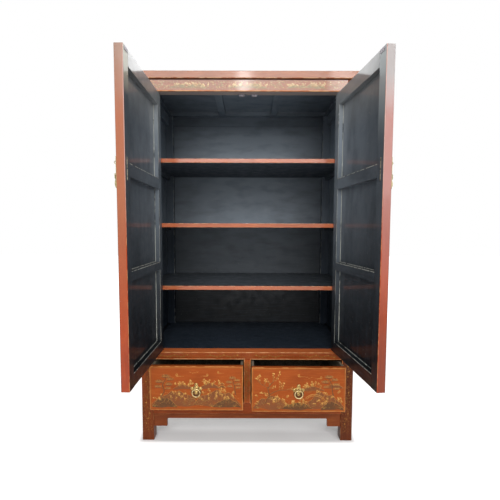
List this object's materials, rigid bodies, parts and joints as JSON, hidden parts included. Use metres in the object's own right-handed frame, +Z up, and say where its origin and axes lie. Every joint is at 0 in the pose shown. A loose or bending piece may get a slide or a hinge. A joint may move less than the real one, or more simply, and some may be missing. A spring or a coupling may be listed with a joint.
{
  "type": "wedding cabinet",
  "caption": "Tall lacquered wooden cabinet: pivot-hung panelled doors over shelves, drawers with ring pulls below, and square legs with stepped apron brackets.",
  "frame": {"origin": "on the floor, in the middle of the rectangle that the cabinet covers with its doors and drawers open as stored", "axes": "+X to the right seen from the front, +Y towards the back, +Z up"},
  "size_m": [1.084, 1.0254, 1.812],
  "materials": {
    "red_lacquer": "worn red-orange lacquer",
    "black_lacquer": "worn black lacquer",
    "bare_wood": "unfinished softwood",
    "brass": "aged brass",
    "steel": "plain steel"
  },
  "bodies": {
    "cabinet": {"front_left_post": "red_lacquer", "front_right_post": "red_lacquer", "rear_left_post": "red_lacquer", "rear_right_post": "red_lacquer", "bottom_rail": "red_lacquer", "waist_rail": "red_lacquer", "head_rail": "red_lacquer", "drawer_divider": "red_lacquer", "left_side_rails": "red_lacquer", "right_side_rails": "red_lacquer", "back_rails": "bare_wood", "left_side_panels": "red_lacquer", "right_side_panels": "red_lacquer", "lower_back_panel": "black_lacquer", "upper_back_panel": "black_lacquer", "front_apron": "red_lacquer", "side_aprons": "red_lacquer", "top_frame": "red_lacquer", "top_panel": "red_lacquer", "top_battens": "bare_wood", "cabinet_floor": "black_lacquer", "floor_bearers": "bare_wood", "lower_shelf": "black_lacquer", "middle_shelf": "black_lacquer", "upper_shelf": "black_lacquer", "shelf_front_rails": "red_lacquer", "shelf_bearers": "bare_wood", "drawer_runners": "bare_wood", "drawer_guides": "bare_wood", "door_catches": "steel"},
    "left_door": {"left_door_hinge_stile": "red_lacquer", "left_door_meeting_stile": "red_lacquer", "left_door_top_rail": "red_lacquer", "left_door_bottom_rail": "red_lacquer", "left_door_battens": "black_lacquer", "left_door_panel": "red_lacquer", "left_door_strike": "steel", "left_lock_plate": "brass", "left_eye_pins": "brass"},
    "left_door_pull": {"left_door_pull": "brass"},
    "left_drawer": {"left_drawer_front": "red_lacquer", "left_drawer_box": "bare_wood", "left_drawer_bottom": "bare_wood", "left_drawer_pull_plate": "brass"},
    "left_drawer_ring": {"left_drawer_ring": "brass"},
    "right_door": {"right_door_hinge_stile": "red_lacquer", "right_door_meeting_stile": "red_lacquer", "right_door_top_rail": "red_lacquer", "right_door_bottom_rail": "red_lacquer", "right_door_battens": "black_lacquer", "right_door_panel": "red_lacquer", "right_door_strike": "steel", "right_lock_plate": "brass", "right_eye_pins": "brass"},
    "right_door_pull": {"right_door_pull": "brass"},
    "right_drawer": {"right_drawer_front": "red_lacquer", "right_drawer_box": "bare_wood", "right_drawer_bottom": "bare_wood", "right_drawer_pull_plate": "brass"},
    "right_drawer_ring": {"right_drawer_ring": "brass"}
  },
  "joints": [
    {"name": "left_door_hinge", "type": "hinge", "parent": "cabinet", "child": "left_door", "pos_m": [-0.448, -0.0655, 0.459], "axis": [0, 0, 1], "range_deg": [-23.4, 91.6]},
    {"name": "right_door_hinge", "type": "hinge", "parent": "cabinet", "child": "right_door", "pos_m": [0.448, -0.0655, 0.459], "axis": [0, 0, 1], "range_deg": [-97.3, 17.7]},
    {"name": "left_drawer_slide", "type": "slide", "parent": "cabinet", "child": "left_drawer", "axis": [0, -1, 0], "range_m": [-0.076, 0.3]},
    {"name": "right_drawer_slide", "type": "slide", "parent": "cabinet", "child": "right_drawer", "axis": [0, -1, 0], "range_m": [-0.088, 0.288]},
    {"name": "left_drawer_ring_swing", "type": "hinge", "parent": "left_drawer", "child": "left_drawer_ring", "pos_m": [-0.24475, -0.1621, 0.3053], "axis": [-1, 0, 0], "range_deg": [-8, 150]},
    {"name": "right_drawer_ring_swing", "type": "hinge", "parent": "right_drawer", "child": "right_drawer_ring", "pos_m": [0.24475, -0.1741, 0.3053], "axis": [-1, 0, 0], "range_deg": [-8, 150]},
    {"name": "left_door_pull_swing", "type": "hinge", "parent": "left_door", "child": "left_door_pull", "pos_m": [-0.48052, -0.49176, 1.2654], "axis": [0.0279, 0.9996, 0], "range_deg": [-5, 150]},
    {"name": "right_door_pull_swing", "type": "hinge", "parent": "right_door", "child": "right_door_pull", "pos_m": [0.52269, -0.48642, 1.2654], "axis": [0.1271, -0.9919, 0], "range_deg": [-5, 150]}
  ]
}
